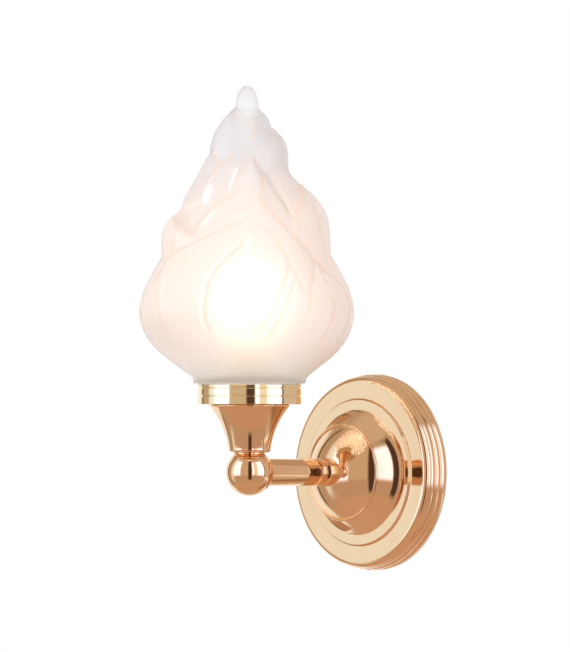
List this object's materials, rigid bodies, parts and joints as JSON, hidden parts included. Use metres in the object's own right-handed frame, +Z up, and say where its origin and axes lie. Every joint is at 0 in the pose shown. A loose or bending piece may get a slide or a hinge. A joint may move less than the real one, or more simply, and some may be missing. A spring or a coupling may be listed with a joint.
{
  "type": "wall light",
  "caption": "Torch wall light: a flame-shaped frosted glass on a flared cup, carried by a short arm and ball from a round reeded wall plate.",
  "frame": {"origin": "middle of the wall plate's back, on the wall plane and at the height of the arm", "axes": "+Y into the wall, so the light stands out along -Y; +Z up, along the torch; +X to the right of someone who faces the wall"},
  "size_m": [0.1181, 0.1581, 0.2655],
  "materials": {
    "rose_gold": "polished rose-gold plate, mirror bright",
    "pale_gold": "polished pale-gold plate, mirror bright",
    "plated_steel": "zinc-plated steel, dull bright",
    "nickel": "nickel plate",
    "terminal_brass": "plain brass",
    "gasket_foam": "closed-cell foam, matte",
    "black_rubber": "moulded rubber, matte",
    "seal_silicone": "translucent silicone, satin",
    "terminal_plastic": "moulded nylon, matte",
    "holder_ceramic": "glazed steatite ceramic",
    "lamp_insulator": "black glass, gloss",
    "lamp_glass": "frosted glass, lit from inside",
    "filament": "phosphor-coated filaments",
    "frosted_glass": "acid-frosted white glass, satin",
    "live_sleeve": "brown wire sleeve",
    "neutral_sleeve": "blue wire sleeve",
    "earth_sleeve": "green and yellow wire sleeve"
  },
  "bodies": {
    "root": {"wall_plate": "rose_gold", "dome_cap": "rose_gold", "wall_gasket": "gasket_foam", "mounting_bracket": "plated_steel", "cable_grommet": "black_rubber", "plate_grub_screws": "plated_steel", "terminal_block": "terminal_plastic", "terminal_tubes": "terminal_brass", "terminal_screws": "plated_steel", "block_screw": "plated_steel", "earth_screw": "terminal_brass", "earth_tag": "plated_steel", "arm_stud": "plated_steel", "stud_nut": "plated_steel", "stud_washer": "plated_steel", "arm_ferrule": "rose_gold", "arm_tube": "rose_gold", "ball_knuckle": "rose_gold", "neck_collar": "rose_gold", "cup_nipple": "plated_steel", "cup_nut": "plated_steel", "torch_cup": "rose_gold", "gallery_ring": "pale_gold", "holder_cap": "plated_steel", "holder_body": "holder_ceramic", "holder_shell": "nickel", "holder_contact": "terminal_brass", "holder_screws": "plated_steel", "live_wire": "live_sleeve", "neutral_wire": "neutral_sleeve", "earth_wire": "earth_sleeve"},
    "glass_seal": {"glass_seal": "seal_silicone"},
    "shade": {"glass_shade": "frosted_glass"},
    "lamp_tip": {"lamp_contact": "nickel"},
    "lamp": {"lamp_insulator": "lamp_insulator", "lamp_cap": "nickel", "lamp_envelope": "lamp_glass", "lamp_filaments": "filament"}
  },
  "joints": [
    {"name": "seal_lift", "type": "slide", "parent": "root", "child": "glass_seal", "axis": [0, 0, 1], "range_m": [0, 0.0081]},
    {"name": "shade_turn", "type": "hinge", "parent": "glass_seal", "child": "shade", "pos_m": [0, -0.0985, 0.0485], "axis": [0, 0, 1], "range_deg": [0, 720]},
    {"name": "lamp_rise", "type": "slide", "parent": "root", "child": "lamp_tip", "axis": [0, 0, 1], "range_m": [0, 0.0085]},
    {"name": "lamp_turn", "type": "hinge", "parent": "lamp_tip", "child": "lamp", "pos_m": [0, -0.0985, 0.045], "axis": [0, 0, 1], "range_deg": [0, 1080]}
  ],
  "couplings": [
    {"joint": "seal_lift", "follows": "shade_turn", "m_per_rad": 0.00063662},
    {"joint": "lamp_rise", "follows": "lamp_turn", "m_per_rad": 0.00044882}
  ]
}
